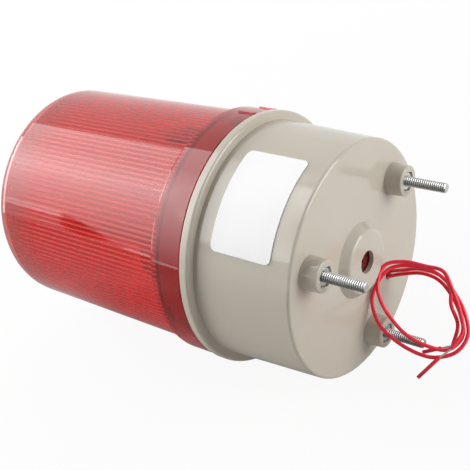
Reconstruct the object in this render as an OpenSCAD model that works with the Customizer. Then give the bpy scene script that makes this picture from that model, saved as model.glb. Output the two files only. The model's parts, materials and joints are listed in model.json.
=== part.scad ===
// Rotating warning light: a fluted red lens, twist-locked on a round base that stands on three studs.
// Inside, a small motor turns a reflector round a fixed lamp.
// Millimetres, +Z up along the lamp's axis. The origin is the middle of the mounting plane,
// which the faces of the three feet share. The lens points up, and the studs and leads point down.

/* [Body] */
// Outer radius of the base wall just under its flange, which the whole light is sized from
body_r = 48; // [47:0.5:56]
// How much narrower the base wall is at its bottom edge
base_draft = 1.5; // [0.5:0.1:2.5]
// Height of the base from its underside to the seam under the lens
base_h = 45.5; // [44:0.5:56]
// Thickness of the base wall
base_wall = 2.5; // [1.8:0.1:3]
// Thickness of the base floor
base_floor = 2.5; // [1.8:0.1:4]
// Rounding of the base's bottom edge
base_edge_r = 1.2; // [0.5:0.1:2.5]
// How far the flange stands out from the base wall
flange_out = 3.5; // [3.2:0.1:5]
// Height of the flange
flange_h = 3.9; // [3.5:0.1:7]
// Rounding of the flange's lower edge
flange_edge_r = 1; // [0.5:0.1:2.5]

/* [Feet and studs] */
// Diameter of the circle that the three studs stand on
stud_pcd = 70; // [66:0.5:74]
// Angle of the first stud
stud_angle = 90; // [85:1:95]
// Thread diameter of the studs
stud_d = 4; // [3:0.5:4.5]
// How far a stud stands out past the face of its foot
stud_reach = 16; // [10:0.5:25]
// Height of a foot below the base's underside
foot_h = 7; // [5.5:0.5:10]
// Diameter of a foot at its face
foot_d = 12.2; // [11:0.1:14]
// How much wider a foot is at its root, on the radius
foot_draft = 0.3; // [0:0.1:0.6]
// Size of the hex nut across its flats
nut_af = 7; // [6.5:0.1:8]
// Thickness of the hex nut
nut_t = 3.2; // [2:0.1:4]
// How deep the nut lies below the face of its foot
nut_sunk = 0.5; // [0.2:0.1:1.5]

/* [Sound boss] */
// Diameter of the boss in the middle of the underside, at its root
sound_boss_d = 30; // [26:0.5:31]
// Diameter of the boss at its face
sound_face_d = 26.6; // [22:0.1:30]
// Height of the boss
sound_boss_h = 3.5; // [2:0.1:5]
// Thickness of the boss's face round the sound hole
sound_face_t = 1.8; // [1.2:0.1:3]
// Diameter of the sound hole
sound_hole_d = 9; // [5:0.5:12]

/* [Lens] */
// Height of the lens from the seam to its top
lens_h = 110; // [100:1:130]
// How far the lens's collar stands out from the base wall
collar_out = 3; // [2.8:0.1:3.4]
// Height of the collar above the seam
collar_h = 14.8; // [13.4:0.1:18]
// Wall of the collar
collar_wall = 2; // [1.5:0.1:2.2]
// How far the foot of the fluted wall stands out from the base wall
lens_out = 1; // [0.6:0.1:1.4]
// How much narrower the lens is at its top
lens_draft = 1; // [0.2:0.1:1.2]
// Wall of the lens between its flutes
lens_wall = 1.7; // [1.3:0.1:2]
// Thickness of the lens top
lens_top_t = 2.2; // [1.5:0.1:3]
// Rounding of the lens's top edge
lens_top_r = 7; // [4:0.5:10]
// Number of flutes round the inside of the lens
flute_count = 144; // [96:12:180]
// Depth of a flute
flute_d = 0.5; // [0.2:0.1:0.7]
// Length of the two raised marks on the collar
mark_l = 7.6; // [4:0.2:9]
// Width of a raised mark
mark_w = 1.2; // [0.6:0.1:2]
// How far a mark stands out of the collar
mark_out = 0.6; // [0.3:0.1:1]

/* [Twist lock] */
// Angle that the lens turns between locked and released
twist_deg = 14; // [8:1:20]
// Angle that a lug covers
lug_deg = 10; // [6:1:14]
// Height of a lug
lug_h = 2.4; // [1.6:0.1:3]
// How far a lug reaches into the neck's groove
lug_reach = 1.1; // [0.6:0.1:1.3]
// Height of the groove's middle above the seam
groove_up = 5; // [4.5:0.1:6.5]
// Thickness of the seal ring under the collar
seal_t = 0.6; // [0.4:0.1:1]

/* [Label] */
// Angle of the label's middle
label_angle = 237.3; // [230:0.1:245]
// Width of the label across its corners
label_w = 40; // [30:0.5:44]
// Height of the label
label_h = 25.6; // [15:0.1:27]
// Height of the label's lower edge above the base's underside
label_up = 8.7; // [5:0.1:12]
// Rounding of the label's corners
label_corner_r = 2.2; // [0.5:0.1:4]
// Thickness of the label
label_t = 0.3; // [0.1:0.05:0.4]

/* [Drive] */
// Module of the two gears
gear_module = 0.8; // [0.7:0.02:0.84]
// Teeth of the pinion on the motor shaft
pinion_teeth = 16; // [15:1:17]
// Teeth of the drive gear, three times the pinion's
gear_teeth = 48; // [45:3:51]
// Face width of the drive gear
gear_t = 6; // [4:0.2:8]
// Height of the drive gear's hub above its teeth
hub_h = 3.5; // [2:0.1:5]
// Radius of the motor can
motor_r = 12; // [9:0.5:12.5]
// Diameter of the motor shaft
motor_shaft_d = 2; // [1.5:0.1:3]
// Height of the posts that carry the chassis plate
post_h = 30.5; // [26:0.5:33]
// Thickness of the chassis plate
plate_t = 1.6; // [1:0.1:2.5]

/* [Lamp and reflector] */
// Height of the lamp post above the chassis plate
lamp_post_h = 24.4; // [22:0.1:34]
// Outer radius of the lamp post
lamp_post_r = 5; // [4.2:0.1:5.6]
// Bore radius of the lamp post
lamp_bore_r = 3.2; // [2.4:0.1:3.6]
// Radius of the bulb's cap
bulb_cap_r = 7.5; // [6.6:0.1:8]
// Height of the bulb's cap
bulb_cap_h = 16; // [12:0.5:20]
// Radius of the bulb's glass
bulb_r = 12.5; // [9:0.5:13.5]
// Length of the bulb's glass above its cap
bulb_h = 27; // [24:0.5:32]
// Focal length of the reflector, from its vertex to the lamp's axis
focus = 17; // [16:0.2:19]
// Half the reflector's width at its top edge
reflector_half_w = 42.3; // [34:0.1:42.6]
// Half the reflector's width at its bottom edge
reflector_foot_w = 41; // [28:0.5:42.5]
// Height of the reflector
reflector_h = 44; // [36:0.5:50]
// Height of the reflector's lower edge above the chassis plate
reflector_up = 33.4; // [30:0.1:42]
// Thickness of the reflector
reflector_t = 1; // [0.6:0.1:1.4]
// Direction that the reflector faces at rest
reflector_facing = 127; // [0:1:359]

/* [Driver board] */
// Height of the pillars that carry the driver board
pillar_h = 12.5; // [10:0.5:15]
// Thickness of the driver board
board_t = 1.6; // [1:0.1:2]
// Radius of the sounder behind the sound boss
sounder_r = 9; // [6.5:0.5:9.2]

/* [Leads] */
// Diameter of a lead over its insulation
lead_d = 1.5; // [0.9:0.05:1.6]
// Diameter of a lead's bare strands
strand_d = 0.7; // [0.4:0.05:0.8]

/* [Hidden] */
$fn = 96;

// Small clearances: a seated fit, a running fit, a screw in its hole, a free gap, and a cut's overrun
seat = 0.05;
run = 0.06;
hole_ease = 0.15;
gap = 0.3;
over = 1;

// Levels up the axis
z_base = foot_h;
z_floor = z_base + base_floor;
z_bury = z_base + base_floor / 2;
z_flange = z_base + base_h - flange_h;
z_seam = z_base + base_h;
z_lens = z_seam + seal_t + seat * 2;
z_collar = z_seam + collar_h;
z_top = z_seam + lens_h;
z_plate = z_floor + post_h;
z_deck = z_plate + plate_t;
z_board = z_floor + pillar_h;
z_board_top = z_board + board_t;

// Radii of the base, the neck and the lens
base_r = body_r - base_draft;
flange_r = body_r + flange_out;
inner_r = body_r - base_wall;
collar_r = body_r + collar_out;
collar_in_r = collar_r - collar_wall;
neck_gap = 0.8;
neck_r = collar_in_r - neck_gap;
neck_drop = 3;
neck_top = z_collar - neck_drop;
lens_foot_r = body_r + lens_out;
lens_head_r = lens_foot_r - lens_draft;
flute_out_r = lens_head_r - lens_wall;
flute_in_r = flute_out_r - flute_d;
crown_step = 0.2;
crown_in_r = flute_in_r - crown_step;
collar_step = 2;
collar_edge_r = 1;

// Twist lock: three lugs on the collar, three grooves and entries in the neck
lug_ease = 0.3;
lug_ease_deg = 1;
lug_first = 40;
groove_r = neck_r - lug_reach - lug_ease;

// Raised marks on the collar
mark_angles = [285.4, 301];
mark_bury = 0.5;

// Seal ring
seal_in = 0.4;

// Feet, studs and nuts. A stud has its thread's outer radius where it stands free,
// and its pitch radius inside the nut and the base
stud_r = stud_d / 2;
thread_pitch = 0.7;
stud_shank_r = stud_r - 3 / 8 * thread_pitch * sqrt(3) / 2;
stud_ring = stud_pcd / 2;
foot_r = foot_d / 2;
foot_edge_r = 0.6;
stud_head_r = stud_d;
stud_head_h = 2.6;
stud_tip = 0.5;
stud_overlap = 0.5;
pocket_ease = 0.12;

// Sound boss and lead hole
sound_edge_r = 1.8;
sound_recess_r = sound_face_d / 2 - base_wall;
lead_hole = [17.5, 20.5];
lead_hole_r = 2.2;

// Cross recess of a pan screw, as shares of its head's radius and height
cross_l = 1.2;
cross_w = 0.24;
cross_floor = 0.5;

// Chassis posts, plate and screws
plate_gap = 0.5;
plate_r = inner_r - base_draft - plate_gap;
post_r = 3.5;
post_in = 5.5;
post_ring = plate_r - post_in;
post_first = 30;
m3_r = 1.5;
m3_head_r = 2.75;
m3_head_h = 2;
m3_l = 8;

// Small screws
m2_r = 1.2;
m2_head_r = 2.2;
m2_head_h = 1.4;
m2_l = 5;

// Gears: pitch radii, centre distance and where the motor stands
pressure = 20;
backlash = 0.06;
tip_h = 0.95;
root_d = 1.25;
pinion_pitch = gear_module * pinion_teeth / 2;
gear_pitch = gear_module * gear_teeth / 2;
motor_at = [-(pinion_pitch + gear_pitch), 0, 0];

// Motor
motor_cap_h = 2.5;
motor_lift = 1;
motor_cap_in = 0.5;
motor_nose_r = 3;
motor_nose_h = 0.6;
motor_shaft_in = 7;
motor_screw_at = 8;
shaft_r = motor_shaft_d / 2;

// Lamp post, washer, bush and ring
post_flange_r = 9;
post_flange_t = 2;
spigot_step = 0.5;
post_spigot_r = lamp_post_r - spigot_step;
washer_t = 0.8;
z_gear = z_deck + post_flange_t + washer_t + seat * 2;
z_hub = z_gear + gear_t;
z_ring = z_hub + hub_h + gap / 2;
bush_wall = 1.5;
bush_r = lamp_post_r + run + bush_wall;
hub_wall = 2.5;
hub_r = bush_r + hub_wall;
ring_t = 1;
ring_out = 3;
ring_r = lamp_post_r + ring_out;
ring_groove_d = 0.6;
ring_groove_r = lamp_post_r - ring_groove_d;
ring_deg = 300;
pinion_drop = 0.5;
pinion_h = gear_t + pinion_drop - gap;

// Lamp socket and bulb
z_post_top = z_deck + lamp_post_h;
socket_skirt = 6;
socket_web = 2;
socket_wall = 1.4;
socket_cup_h = 10;
socket_r = bulb_cap_r + hole_ease + socket_wall;
z_cap = z_post_top + socket_web;
z_glass = z_cap + bulb_cap_h;
bulb_neck_in = 0.6;
bulb_neck_r = bulb_cap_r - bulb_neck_in;
bulb_neck_deg = 30;

// Reflector and its bracket
z_reflector = z_deck + reflector_up;
bracket_t = 1.5;
bracket_w = 14;
bracket_back = focus + reflector_t + seat;
bracket_short = 11;
bracket_top = z_reflector + reflector_h - bracket_short;
bracket_foot_in = hub_r + gap * 2;
bracket_screw_x = (bracket_back + bracket_foot_in) / 2;
bracket_screw_y = 4;
bracket_head_r = 2;
rivet_r = 1.5;
rivet_head_r = 2.6;
rivet_head_h = 1;
rivet_low = 8;
rivet_under = 7;
rivet_up = [rivet_low, reflector_h - bracket_short - rivet_under];

// Driver board and what it carries
board_gap = 1.5;
board_r = post_ring - post_r - board_gap;
board_cut_x = -9.5;
pillar_r = 2.6;
pillar_in = 5;
pillar_ring = board_r - pillar_in;
pillar_angles = [10, -55, 100];
sounder_gap = 0.5;
sounder_hole_r = 1;
sounder_hole_h = 2;
capacitor_r = 5;
capacitor_h = 12;
capacitor_ring = pillar_ring - m2_head_r - capacitor_r - gap;
capacitor_angles = [-24, -63];
chip_size = [12, 7, 3];
chip_at = [11, 8];
terminal_size = [11, 9];
lamp_lead_x = 1.3;
inner_lead_r = 0.6;

// Routes of the two leads, from the terminal block to the end of their insulation
lead_a_route = [
    [18.3, 19.7, 14], [18.3, 19.7, 8], [19, 18, 1.5], [20, 16, -6.5], [20, 17, -15], [17.5, 21.5, -21.5],
    [13.5, 26.5, -27], [8, 32, -30.5], [1.5, 36, -28.5], [-3, 37.5, -21.5], [-5, 35.5, -14], [-5, 32, -6],
    [-3.5, 28, 0.5], [1, 22, 5.5], [6, 16.5, 5.5], [12.5, 12.5, 2.5], [17, 12.5, -4.5], [19, 14.5, -12.5],
    [17, 18, -20], [13, 24, -22], [11, 31.5, -25], [4.5, 36.5, -25.5]
];
lead_b_route = [
    [16.7, 21.3, 14], [16.7, 21.3, 8], [19, 20, 1.5], [20.5, 18.5, -6.5], [20, 19.5, -14], [17, 23, -20.5],
    [13, 28, -25.5], [7.5, 33, -28.5], [1, 35.5, -25.5], [-2.5, 33, -19], [-3.5, 29.5, -11.5], [-2, 25.5, -5],
    [0.5, 20.5, 0.5], [4.5, 15, 4], [11.5, 10.5, 4], [15.5, 10, -2.5], [17.5, 11.5, -10.5],
    [18, 12.5, -17.5], [14.5, 17.5, -22.5], [11, 23.5, -26.5], [7, 30, -29], [0, 33.5, -27.5]
];
// Where each lead's strands go on to, and where the slug of insulation on their tip ends
lead_a_tip = [[2.5, 37.5, -21.5], [0.5, 40.5, -14.5]];
lead_b_tip = [[-3.5, 36, -24], [-9.5, 44, -17]];
lead_sides = 8;
lead_steps = 2;

// Routes of the two motor leads, from the motor's end cap to the underside of the board
motor_lead_route = [[-18.6, 8.4, 11.7], [-15, 11.5, 11.7], [-10, 14, 13], [-5, 15, 17.5], [-5, 15, z_board - seat]];

function polar(r, a) = [r * cos(a), r * sin(a)];
function arc(cx, cy, r, from, to, n = 6) = [for (i = [0:n]) [cx, cy] + polar(r, from + (to - from) * i / n)];
function wall_r(z) = base_r + (body_r - base_r) * (z - z_base - base_edge_r) / (z_flange - z_base - base_edge_r);

// Involute teeth: half the angle that a tooth covers at a radius, and the gear's whole outline
function involute_deg(r, base) = let (a = acos(min(1, base / r))) tan(a) * 180 / PI - a;
function half_tooth(r, pitch, teeth) =
    let (base = pitch * cos(pressure))
    90 / teeth - backlash / pitch * 180 / PI + involute_deg(pitch, base) - involute_deg(max(r, base), base);
function gear_outline(teeth) =
    let (pitch = gear_module * teeth / 2)
    let (root = pitch - gear_module * root_d)
    let (tip = pitch + gear_module * tip_h)
    let (radii = [root, pitch * cos(pressure), pitch, (pitch + tip) / 2, tip])
    [for (i = [0:teeth - 1])
        for (k = [0:2 * len(radii) - 1])
            let (rising = k < len(radii))
            let (r = radii[rising ? k : 2 * len(radii) - 1 - k])
            polar(r, i * 360 / teeth + (rising ? -1 : 1) * half_tooth(r, pitch, teeth))];

// Reflector's curve: a parabola with its focus on the lamp's axis, and the same curve one sheet further out
function parabola(y) = [y * y / (4 * focus) - focus, y];
function parabola_back(y, t) = parabola(y) + t * [-1, y / (2 * focus)] / norm([1, y / (2 * focus)]);

// A smooth route through its own points, and the tube swept along it
function route_slope(p, i) = (p[min(i + 1, len(p) - 1)] - p[max(i - 1, 0)]) / (i == 0 || i == len(p) - 1 ? 1 : 2);
function hermite(a, b, ma, mb, t) =
    (2 * t ^ 3 - 3 * t ^ 2 + 1) * a + (t ^ 3 - 2 * t ^ 2 + t) * ma
    + (3 * t ^ 2 - 2 * t ^ 3) * b + (t ^ 3 - t ^ 2) * mb;
function route_curve(p) = concat(
    [for (i = [0:len(p) - 2])
        for (s = [0:lead_steps - 1])
            hermite(p[i], p[i + 1], route_slope(p, i), route_slope(p, i + 1), s / lead_steps)],
    [p[len(p) - 1]]);
function unit(v) = v / norm(v);
function aim(c, i) = unit(c[min(i + 1, len(c) - 1)] - c[max(i - 1, 0)]);
function side_at(c, i) =
    i == 0
    ? unit(cross(aim(c, 0), [0.3, 0.9, 0.2]))
    : let (before = side_at(c, i - 1)) unit(before - (before * aim(c, i)) * aim(c, i));
function ring_at(c, i, r) =
    let (u = side_at(c, i))
    let (v = cross(aim(c, i), u))
    [for (k = [0:lead_sides - 1]) c[i] + r * (cos(k * 360 / lead_sides) * u + sin(k * 360 / lead_sides) * v)];

module tube_along(route, r) {
    c = route_curve(route);
    n = len(c);
    points = [for (i = [0:n - 1]) each ring_at(c, i, r)];
    sides = [for (i = [0:n - 2]) for (k = [0:lead_sides - 1])
        let (j = (k + 1) % lead_sides)
        [i * lead_sides + k, (i + 1) * lead_sides + k, (i + 1) * lead_sides + j, i * lead_sides + j]];
    first = [for (k = [0:lead_sides - 1]) k];
    last = [for (k = [lead_sides - 1:-1:0]) (n - 1) * lead_sides + k];
    polyhedron(points, concat(sides, [first, last]), convexity = 10);
}

module straight_tube(from, to, r) {
    d = to - from;
    turn = atan2(d[1], d[0]);
    lean = acos(d[2] / norm(d));
    translate(from) rotate([0, lean, turn]) cylinder(h = norm(d), r = r, $fn = 24);
}

module ring(r_out, r_in, h) {
    difference() {
        cylinder(h = h, r = r_out);
        translate([0, 0, -over]) cylinder(h = h + 2 * over, r = r_in);
    }
}

module ring_sector(r_out, r_in, h, middle, spread) {
    rotate([0, 0, middle - spread / 2])
        rotate_extrude(angle = spread)
            translate([r_in, 0]) square([r_out - r_in, h]);
}

module three_round(first, r) {
    for (k = [0:2]) rotate([0, 0, first + 120 * k]) translate([r, 0, 0]) children();
}

// A pan-head screw, head up, with its seat at z = 0 and a cross recess
module pan_screw(r, l, head_r, head_h) {
    difference() {
        union() {
            cylinder(h = head_h, r = head_r, $fn = 48);
            translate([0, 0, -l]) cylinder(h = l, r = r, $fn = 48);
        }
        for (a = [0, 90]) rotate([0, 0, a])
            translate([-head_r * cross_l / 2, -head_r * cross_w / 2, head_h * cross_floor])
                cube([head_r * cross_l, head_r * cross_w, head_h]);
    }
}

module foot() {
    root = foot_r + foot_draft;
    rotate_extrude()
        polygon(concat(
            [[0, 0]],
            arc(foot_r - foot_edge_r, foot_edge_r, foot_edge_r, -90, 0, 4),
            [[root, z_base], [root, z_bury], [0, z_bury]]));
}

module sound_boss() {
    face_r = sound_face_d / 2;
    z_face = z_base - sound_boss_h;
    edge = [face_r - sound_edge_r, z_face + sound_edge_r];
    to_root = [sound_boss_d / 2, z_base] - edge;
    meet_deg = atan2(to_root[1], to_root[0]) - acos(min(1, sound_edge_r / norm(to_root)));
    rotate_extrude($fn = 180)
        polygon(concat(
            [[0, z_face]],
            arc(edge[0], edge[1], sound_edge_r, -90, meet_deg, 5),
            [[sound_boss_d / 2, z_base], [sound_boss_d / 2, z_bury], [0, z_bury]]));
}

module base_shell() {
    flange_top_r = 0.6;
    rotate_extrude($fn = 180)
        polygon(concat(
            [[0, z_base]],
            arc(base_r - base_edge_r, z_base + base_edge_r, base_edge_r, -90, 0),
            [[body_r, z_flange]],
            arc(flange_r - flange_edge_r, z_flange + flange_edge_r, flange_edge_r, -90, 0),
            arc(flange_r - flange_top_r, z_seam - flange_top_r, flange_top_r, 0, 90, 3),
            [[neck_r, z_seam], [neck_r, neck_top], [inner_r, neck_top], [inner_r, z_flange],
             [base_r - base_wall, z_floor], [0, z_floor]]));
}

module neck_grooves() {
    groove_h = lug_h + 2 * lug_ease;
    z_groove = z_seam + groove_up - groove_h / 2;
    entry_deg = lug_deg + lug_ease_deg;
    groove_deg = lug_deg + twist_deg + 2 * lug_ease_deg;
    for (k = [0:2]) rotate([0, 0, lug_first + 120 * k]) {
        translate([0, 0, z_groove]) ring_sector(neck_r + over, groove_r, groove_h, twist_deg / 2, groove_deg);
        translate([0, 0, z_groove + groove_h / 2])
            ring_sector(neck_r + 2 * over, groove_r + seat, neck_top - z_groove, twist_deg, entry_deg);
    }
}

module base_housing() {
    color([0.78, 0.75, 0.70])
    difference() {
        union() {
            base_shell();
            sound_boss();
            three_round(stud_angle, stud_ring) foot();
            translate([0, 0, z_floor - over])
                three_round(post_first, post_ring) cylinder(h = post_h + over, r = post_r, $fn = 48);
            for (a = pillar_angles) rotate([0, 0, a])
                translate([pillar_ring, 0, z_floor - over]) cylinder(h = pillar_h + over, r = pillar_r, $fn = 48);
        }
        neck_grooves();
        translate([0, 0, z_base - sound_boss_h - over])
            cylinder(h = sound_boss_h + base_floor + 2 * over, r = sound_hole_d / 2);
        translate([0, 0, z_base - sound_boss_h + sound_face_t])
            cylinder(h = sound_boss_h + base_floor, r = sound_recess_r);
        translate([lead_hole[0], lead_hole[1], z_base - over])
            cylinder(h = base_floor + 2 * over, r = lead_hole_r, $fn = 48);
        three_round(stud_angle, stud_ring) {
            translate([0, 0, -over]) cylinder(h = z_floor + 2 * over, r = stud_r + hole_ease, $fn = 48);
            translate([0, 0, -over])
                cylinder(h = nut_sunk + nut_t + over, r = nut_af / sqrt(3) + pocket_ease, $fn = 6);
        }
        translate([0, 0, z_plate - m3_l - over])
            three_round(post_first, post_ring) cylinder(h = m3_l + 2 * over, r = m3_r + seat, $fn = 48);
        for (a = pillar_angles) rotate([0, 0, a])
            translate([pillar_ring, 0, z_board - m2_l - over]) cylinder(h = m2_l + 2 * over, r = m2_r + seat, $fn = 48);
    }
}

module base_label() {
    z_low = z_base + label_up;
    z_high = z_low + label_h;
    c = label_corner_r;
    stick = seat;
    color("white")
    rotate([0, 0, label_angle])
        intersection() {
            rotate([0, 0, -90])
                rotate_extrude(angle = 180, $fn = 180)
                    polygon([
                        [wall_r(z_low - over) + stick, z_low - over],
                        [wall_r(z_low - over) + stick + label_t, z_low - over],
                        [wall_r(z_high + over) + stick + label_t, z_high + over],
                        [wall_r(z_high + over) + stick, z_high + over]]);
            rotate([90, 0, 90])
                linear_extrude(body_r + flange_out)
                    union() {
                        translate([-label_w / 2 + c, z_low]) square([label_w - 2 * c, label_h]);
                        translate([-label_w / 2, z_low + c]) square([label_w, label_h - 2 * c]);
                        for (x = [-1, 1]) for (z = [z_low + c, z_high - c])
                            translate([x * (label_w / 2 - c), z]) circle(r = c, $fn = 32);
                    }
        }
}

module mounting_screws() {
    color([0.75, 0.75, 0.76])
    translate([0, 0, z_floor])
        three_round(stud_angle, stud_ring) {
            pan_screw(stud_shank_r, z_floor + stud_overlap, stud_head_r, stud_head_h);
            translate([0, 0, -z_floor - stud_reach + stud_tip])
                cylinder(h = stud_reach - stud_tip, r = stud_r, $fn = 48);
            translate([0, 0, -z_floor - stud_reach])
                cylinder(h = stud_tip, r1 = stud_r - stud_tip, r2 = stud_r, $fn = 48);
        }
}

module mounting_nuts() {
    color([0.72, 0.72, 0.74])
    translate([0, 0, nut_sunk])
        three_round(stud_angle, stud_ring)
            difference() {
                cylinder(h = nut_t, r = nut_af / sqrt(3), $fn = 6);
                translate([0, 0, -over]) cylinder(h = nut_t + 2 * over, r = stud_shank_r + seat, $fn = 48);
            }
}

module seal_ring() {
    color([0.08, 0.08, 0.08])
    translate([0, 0, z_seam]) ring(collar_r - seal_in, neck_r + hole_ease, seal_t);
}

module lens_outside() {
    rotate_extrude($fn = 180)
        polygon(concat(
            [[0, z_lens], [collar_r, z_lens]],
            arc(collar_r - collar_edge_r, z_collar - collar_edge_r, collar_edge_r, 0, 90, 4),
            [[lens_foot_r, z_collar]],
            arc(lens_head_r - lens_top_r, z_top - lens_top_r, lens_top_r, 0, 90, 8),
            [[0, z_top]]));
}

module lens_inside() {
    z_step = z_collar - collar_step;
    z_flutes = z_top - lens_top_r - over;
    in_edge_r = lens_top_r - lens_top_t;
    translate([0, 0, z_lens - over]) cylinder(h = z_step - z_lens + over, r = collar_in_r, $fn = 180);
    translate([0, 0, z_step - over])
        linear_extrude(z_flutes - z_step + over)
            polygon([for (i = [0:flute_count * 2 - 1])
                polar(i % 2 == 0 ? flute_out_r : flute_in_r, i * 180 / flute_count)]);
    rotate_extrude($fn = 180)
        polygon(concat(
            [[0, z_flutes - over], [crown_in_r, z_flutes - over]],
            arc(crown_in_r - in_edge_r, z_top - lens_top_t - in_edge_r, in_edge_r, 0, 90, 6),
            [[0, z_top - lens_top_t]]));
}

module lens_cover() {
    color([0.85, 0.12, 0.14])
    union() {
        difference() {
            lens_outside();
            lens_inside();
        }
        for (a = mark_angles) rotate([0, 0, a])
            translate([collar_r - mark_bury, -mark_w / 2, z_lens]) cube([mark_bury + mark_out, mark_w, mark_l]);
        for (k = [0:2])
            translate([0, 0, z_seam + groove_up - lug_h / 2])
                ring_sector(collar_r - collar_wall / 2, neck_r - lug_reach, lug_h, lug_first + 120 * k, lug_deg);
    }
}

module chassis_plate() {
    color([0.70, 0.71, 0.72])
    difference() {
        translate([0, 0, z_plate]) cylinder(h = plate_t, r = plate_r);
        translate([0, 0, z_plate - over]) {
            cylinder(h = plate_t + 2 * over, r = post_spigot_r + seat);
            three_round(post_first, post_ring) cylinder(h = plate_t + 2 * over, r = m3_r + hole_ease, $fn = 48);
            translate(motor_at) {
                cylinder(h = plate_t + 2 * over, r = motor_nose_r + hole_ease, $fn = 48);
                for (s = [-1, 1]) translate([0, s * motor_screw_at, 0])
                    cylinder(h = plate_t + 2 * over, r = m2_r + hole_ease, $fn = 48);
            }
        }
    }
}

module chassis_screws() {
    color([0.62, 0.62, 0.64])
    translate([0, 0, z_deck])
        three_round(post_first, post_ring) pan_screw(m3_r, m3_l, m3_head_r, m3_head_h);
}

module motor_can() {
    z_can = z_floor + motor_lift + motor_cap_h;
    color([0.66, 0.66, 0.68])
    translate(motor_at)
        difference() {
            union() {
                translate([0, 0, z_can]) cylinder(h = z_plate - z_can, r = motor_r);
                translate([0, 0, z_plate - over]) cylinder(h = plate_t + motor_nose_h + over, r = motor_nose_r);
            }
            translate([0, 0, z_plate - motor_shaft_in])
                cylinder(h = motor_shaft_in + plate_t + motor_nose_h + over, r = shaft_r + run, $fn = 48);
            for (s = [-1, 1]) translate([0, s * motor_screw_at, z_plate - m2_l])
                cylinder(h = m2_l + over, r = m2_r + seat, $fn = 48);
        }
}

module motor_end_cap() {
    color([0.15, 0.15, 0.16])
    translate(motor_at + [0, 0, z_floor + motor_lift]) cylinder(h = motor_cap_h, r = motor_r - motor_cap_in);
}

module motor_screws() {
    color([0.62, 0.62, 0.64])
    translate(motor_at + [0, 0, z_deck])
        for (s = [-1, 1]) translate([0, s * motor_screw_at, 0])
            pan_screw(m2_r, m2_l, m2_head_r, m2_head_h);
}

module motor_shaft() {
    z_low = z_plate - motor_shaft_in + gap;
    color([0.80, 0.80, 0.82])
    translate(motor_at + [0, 0, z_low]) cylinder(h = z_gear - pinion_drop + pinion_h + gap - z_low, r = shaft_r, $fn = 48);
}

module pinion() {
    color([0.90, 0.88, 0.82])
    translate(motor_at + [0, 0, z_gear - pinion_drop])
        difference() {
            rotate([0, 0, 180 / pinion_teeth]) linear_extrude(pinion_h) polygon(gear_outline(pinion_teeth));
            translate([0, 0, -over]) cylinder(h = pinion_h + 2 * over, r = shaft_r + seat / 2, $fn = 48);
        }
}

module lamp_post() {
    color([0.55, 0.55, 0.57])
    rotate_extrude()
        polygon([
            [lamp_bore_r, z_plate], [post_spigot_r, z_plate], [post_spigot_r, z_deck], [post_flange_r, z_deck],
            [post_flange_r, z_deck + post_flange_t], [lamp_post_r, z_deck + post_flange_t], [lamp_post_r, z_ring],
            [ring_groove_r, z_ring], [ring_groove_r, z_ring + ring_t + seat], [lamp_post_r, z_ring + ring_t + seat],
            [lamp_post_r, z_post_top], [lamp_bore_r, z_post_top]]);
}

module thrust_washer() {
    color([0.92, 0.91, 0.86])
    translate([0, 0, z_deck + post_flange_t]) ring(post_flange_r, lamp_post_r + hole_ease, washer_t);
}

module retaining_ring() {
    color([0.30, 0.30, 0.32])
    translate([0, 0, z_ring]) ring_sector(ring_r, ring_groove_r + seat, ring_t, 0, ring_deg);
}

module lamp_socket() {
    z_low = z_post_top - socket_skirt;
    color([0.93, 0.92, 0.88])
    rotate_extrude()
        polygon([
            [lamp_post_r + seat, z_low], [socket_r, z_low], [socket_r, z_cap + socket_cup_h],
            [bulb_cap_r + hole_ease, z_cap + socket_cup_h], [bulb_cap_r + hole_ease, z_cap], [0, z_cap],
            [0, z_post_top], [lamp_post_r + seat, z_post_top]]);
}

module bulb_cap() {
    color([0.80, 0.66, 0.36])
    translate([0, 0, z_cap]) cylinder(h = bulb_cap_h, r = bulb_cap_r);
}

module bulb_glass() {
    z_wide = z_glass + bulb_h - bulb_r;
    color([0.92, 0.94, 0.95, 0.5])
    rotate_extrude()
        polygon(concat(
            [[0, z_glass], [bulb_neck_r, z_glass], [bulb_neck_r, z_glass + over]],
            arc(0, z_wide, bulb_r, -bulb_neck_deg, 90, 12)));
}

module drive_gear() {
    color([0.95, 0.94, 0.90])
    difference() {
        union() {
            translate([0, 0, z_gear]) linear_extrude(gear_t) polygon(gear_outline(gear_teeth));
            translate([0, 0, z_gear]) cylinder(h = gear_t + hub_h, r = hub_r);
        }
        translate([0, 0, z_gear - over]) cylinder(h = gear_t + hub_h + 2 * over, r = bush_r + seat / 2);
        rotate([0, 0, reflector_facing + 180])
            for (s = [-1, 1]) translate([bracket_screw_x, s * bracket_screw_y, z_hub + bracket_t - m2_l])
                cylinder(h = m2_l, r = m2_r + seat, $fn = 48);
    }
}

module gear_bush() {
    color([0.80, 0.66, 0.36])
    translate([0, 0, z_gear]) ring(bush_r, lamp_post_r + run, gear_t + hub_h);
}

module reflector_bracket() {
    color([0.70, 0.71, 0.72])
    rotate([0, 0, reflector_facing + 180])
        difference() {
            union() {
                translate([bracket_foot_in, -bracket_w / 2, z_hub])
                    cube([bracket_back + bracket_t - bracket_foot_in, bracket_w, bracket_t]);
                translate([bracket_back, -bracket_w / 2, z_hub]) cube([bracket_t, bracket_w, bracket_top - z_hub]);
            }
            for (s = [-1, 1]) translate([bracket_screw_x, s * bracket_screw_y, z_hub - over])
                cylinder(h = bracket_t + 2 * over, r = m2_r + hole_ease, $fn = 48);
            for (h = rivet_up) translate([bracket_back - over, 0, z_reflector + h]) rotate([0, 90, 0])
                cylinder(h = bracket_t + 2 * over, r = rivet_r + seat, $fn = 48);
        }
}

module bracket_screws() {
    color([0.62, 0.62, 0.64])
    rotate([0, 0, reflector_facing + 180])
        for (s = [-1, 1]) translate([bracket_screw_x, s * bracket_screw_y, z_hub + bracket_t])
            pan_screw(m2_r, m2_l - gap, bracket_head_r, m2_head_h);
}

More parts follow.
